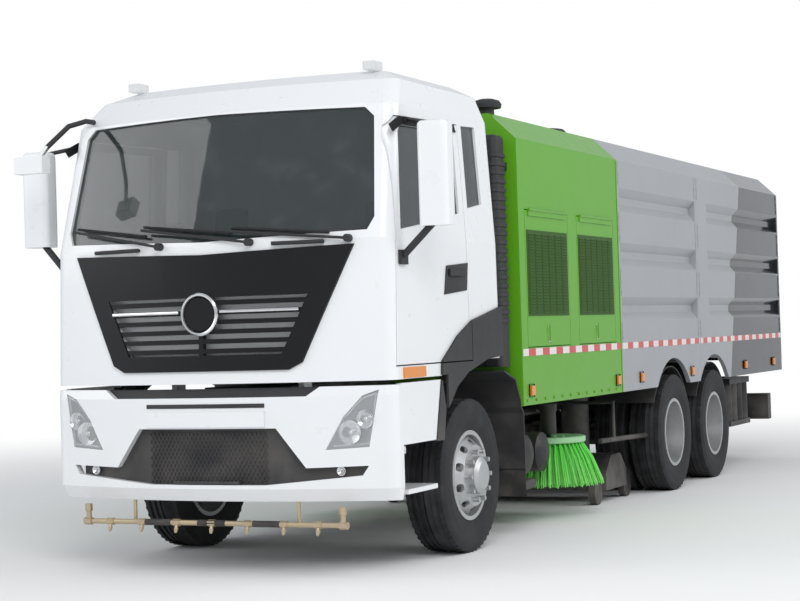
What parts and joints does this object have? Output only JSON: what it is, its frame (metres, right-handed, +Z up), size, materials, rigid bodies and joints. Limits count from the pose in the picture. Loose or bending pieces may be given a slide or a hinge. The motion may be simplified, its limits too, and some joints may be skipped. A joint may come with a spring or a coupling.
{
  "type": "street sweeper truck",
  "caption": "Cab-over street sweeper truck with steered front axle, twin-wheel bogie, louvred engine module, tipping refuse hopper and side brushes.",
  "frame": {"origin": "on the ground under the middle of the overall length, on the centre plane", "axes": "+Z up, front towards -Y, the vehicle's left side towards +X"},
  "size_m": [3.16, 10.56, 3.267],
  "materials": {
    "white_paint": "gloss",
    "green_paint": "gloss",
    "silver_paint": "satin",
    "black_paint": "satin",
    "bare_steel": "satin",
    "cast_iron": "matt",
    "brass_pipe": "satin",
    "rim_silver": "satin",
    "tyre": "matt",
    "black_plastic": "matt",
    "bristles": "matt",
    "amber": "gloss",
    "glass": "clear",
    "lamp_glass": "clear",
    "trim_fabric": "matt"
  },
  "bodies": {
    "chassis": {"chassis_frame": "black_paint", "front_axle": "cast_iron", "rear_axles": "cast_iron", "engines": "cast_iron", "pipes_and_chambers": "black_paint", "green_module": "green_paint", "air_intake": "black_plastic", "water_tank": "silver_paint", "suction_nozzle": "black_paint", "side_lamps": "amber", "rear_underride": "black_paint", "mudguards": "black_plastic", "bumper": "white_paint", "bumper_inner": "black_plastic", "headlamps": "lamp_glass", "step_skirts": "white_paint", "spray_bar": "brass_pipe"},
    "steered_hub_left": {"knuckle_left": "cast_iron"},
    "steered_hub_right": {"knuckle_right": "cast_iron"},
    "track_rod": {"tie_rod": "cast_iron"},
    "front_wheel_left": {"tyre_front_left": "tyre", "rim_front_left": "rim_silver"},
    "front_wheel_right": {"tyre_front_right": "tyre", "rim_front_right": "rim_silver"},
    "middle_wheel_left": {"tyre_middle_left": "tyre", "rim_middle_left": "rim_silver"},
    "middle_wheel_right": {"tyre_middle_right": "tyre", "rim_middle_right": "rim_silver"},
    "rear_wheel_left": {"tyre_rear_left": "tyre", "rim_rear_left": "rim_silver"},
    "rear_wheel_right": {"tyre_rear_right": "tyre", "rim_rear_right": "rim_silver"},
    "cab": {"cab_shell": "white_paint", "front_panel": "black_plastic", "cab_glass": "glass", "cab_trim": "black_plastic", "cab_lamps": "amber", "cab_interior": "trim_fabric"},
    "cab_door_left": {"door_left": "white_paint", "door_glass_left": "glass", "door_mirror_left": "white_paint"},
    "cab_door_right": {"door_right": "white_paint", "door_glass_right": "glass", "door_mirror_right": "white_paint"},
    "hand_wheel": {"steering_wheel": "black_plastic"},
    "module_door_front_left": {"equipment_door_front_left": "green_paint"},
    "module_door_front_right": {"equipment_door_front_right": "green_paint"},
    "module_door_rear_left": {"equipment_door_rear_left": "green_paint"},
    "module_door_rear_right": {"equipment_door_rear_right": "green_paint"},
    "roof_lid": {"roof_hatch": "black_paint"},
    "hopper_body": {"hopper": "silver_paint", "hopper_lamps": "amber"},
    "tailgate": {"rear_door": "silver_paint"},
    "tip_barrel_pair": {"tip_barrels": "black_paint"},
    "tip_rod_pair": {"tip_rods": "bare_steel"},
    "arm_left": {"brush_arm_left": "black_paint"},
    "arm_right": {"brush_arm_right": "black_paint"},
    "brush_left": {"side_brush_left": "bristles"},
    "brush_right": {"side_brush_right": "bristles"}
  },
  "joints": [
    {"name": "steer_left", "type": "hinge", "parent": "chassis", "child": "steered_hub_left", "pos_m": [0.8, -3.52, 0.522], "axis": [0, 0, 1], "range_deg": [-35, 35]},
    {"name": "steer_right", "type": "hinge", "parent": "chassis", "child": "steered_hub_right", "pos_m": [-0.8, -3.52, 0.522], "axis": [0, 0, 1], "range_deg": [-35, 35]},
    {"name": "track_rod_swing", "type": "hinge", "parent": "steered_hub_left", "child": "track_rod", "pos_m": [0.8, -3.34, 0.411], "axis": [0, 0, 1], "range_deg": [-35, 35]},
    {"name": "front_wheel_left_spin", "type": "hinge", "parent": "steered_hub_left", "child": "front_wheel_left", "pos_m": [1.023, -3.52, 0.522], "axis": [1, 0, 0], "continuous": true},
    {"name": "front_wheel_right_spin", "type": "hinge", "parent": "steered_hub_right", "child": "front_wheel_right", "pos_m": [-1.023, -3.52, 0.522], "axis": [1, 0, 0], "continuous": true},
    {"name": "middle_wheel_left_spin", "type": "hinge", "parent": "chassis", "child": "middle_wheel_left", "pos_m": [0.935, 1.08, 0.522], "axis": [1, 0, 0], "continuous": true},
    {"name": "middle_wheel_right_spin", "type": "hinge", "parent": "chassis", "child": "middle_wheel_right", "pos_m": [-0.935, 1.08, 0.522], "axis": [1, 0, 0], "continuous": true},
    {"name": "rear_wheel_left_spin", "type": "hinge", "parent": "chassis", "child": "rear_wheel_left", "pos_m": [0.935, 2.43, 0.522], "axis": [1, 0, 0], "continuous": true},
    {"name": "rear_wheel_right_spin", "type": "hinge", "parent": "chassis", "child": "rear_wheel_right", "pos_m": [-0.935, 2.43, 0.522], "axis": [1, 0, 0], "continuous": true},
    {"name": "cab_tilt", "type": "hinge", "parent": "chassis", "child": "cab", "pos_m": [0, -4.9, 0.9], "axis": [1, 0, 0], "range_deg": [0, 50]},
    {"name": "cab_door_left_hinge", "type": "hinge", "parent": "cab", "child": "cab_door_left", "pos_m": [1.247, -4.845, 2], "axis": [0, 0, -1], "range_deg": [0, 70]},
    {"name": "cab_door_right_hinge", "type": "hinge", "parent": "cab", "child": "cab_door_right", "pos_m": [-1.247, -4.845, 2], "axis": [0, 0, 1], "range_deg": [0, 70]},
    {"name": "steering_wheel_turn", "type": "hinge", "parent": "cab", "child": "hand_wheel", "pos_m": [0.6, -4.32, 2.03], "axis": [0, 0.5299, 0.848], "range_deg": [-565, 565]},
    {"name": "module_door_front_left_lift", "type": "hinge", "parent": "chassis", "child": "module_door_front_left", "pos_m": [1.26, -2.15, 2.371], "axis": [0, -1, 0], "range_deg": [0, 85]},
    {"name": "module_door_front_right_lift", "type": "hinge", "parent": "chassis", "child": "module_door_front_right", "pos_m": [-1.26, -2.15, 2.371], "axis": [0, 1, 0], "range_deg": [0, 85]},
    {"name": "module_door_rear_left_lift", "type": "hinge", "parent": "chassis", "child": "module_door_rear_left", "pos_m": [1.26, -1.04, 2.371], "axis": [0, -1, 0], "range_deg": [0, 85]},
    {"name": "module_door_rear_right_lift", "type": "hinge", "parent": "chassis", "child": "module_door_rear_right", "pos_m": [-1.26, -1.04, 2.371], "axis": [0, 1, 0], "range_deg": [0, 85]},
    {"name": "roof_lid_hinge", "type": "hinge", "parent": "chassis", "child": "roof_lid", "pos_m": [0.76, -0.687, 3.09], "axis": [-1, 0, 0], "range_deg": [0, 100]},
    {"name": "hopper_tip", "type": "hinge", "parent": "chassis", "child": "hopper_body", "pos_m": [0, 4.78, 1.075], "axis": [-1, 0, 0], "range_deg": [0, 45]},
    {"name": "tailgate_lift", "type": "hinge", "parent": "hopper_body", "child": "tailgate", "pos_m": [0, 5.232, 3.052], "axis": [1, 0, 0], "range_deg": [0, 80]},
    {"name": "tip_barrel_swing", "type": "hinge", "parent": "chassis", "child": "tip_barrel_pair", "pos_m": [0, 3.98, 0.83], "axis": [-1, 0, 0], "range_deg": [0, 58.6]},
    {"name": "tip_rod_slide", "type": "slide", "parent": "tip_barrel_pair", "child": "tip_rod_pair", "axis": [0, -0.9905, 0.1372], "range_m": [0, 0.53]},
    {"name": "brush_arm_left_swing", "type": "hinge", "parent": "chassis", "child": "arm_left", "pos_m": [0.52, -0.62, 0.87], "axis": [0, 0, 1], "range_deg": [0, 30]},
    {"name": "brush_arm_right_swing", "type": "hinge", "parent": "chassis", "child": "arm_right", "pos_m": [-0.52, -0.62, 0.87], "axis": [0, 0, -1], "range_deg": [0, 30]},
    {"name": "brush_left_spin", "type": "hinge", "parent": "arm_left", "child": "brush_left", "pos_m": [0.905, -1.32, 0.615], "axis": [0, 0, 1], "continuous": true},
    {"name": "brush_right_spin", "type": "hinge", "parent": "arm_right", "child": "brush_right", "pos_m": [-0.905, -1.32, 0.615], "axis": [0, 0, 1], "continuous": true}
  ],
  "couplings": [
    {"joint": "steer_right", "follows": "steer_left", "ratio": 1},
    {"joint": "track_rod_swing", "follows": "steer_left", "ratio": -1},
    {"joint": "steering_wheel_turn", "follows": "steer_left", "ratio": 16},
    {"joint": "tip_barrel_swing", "follows": "hopper_tip", "ratio": 1.3},
    {"joint": "tip_rod_slide", "follows": "hopper_tip", "m_per_rad": 0.667}
  ]
}
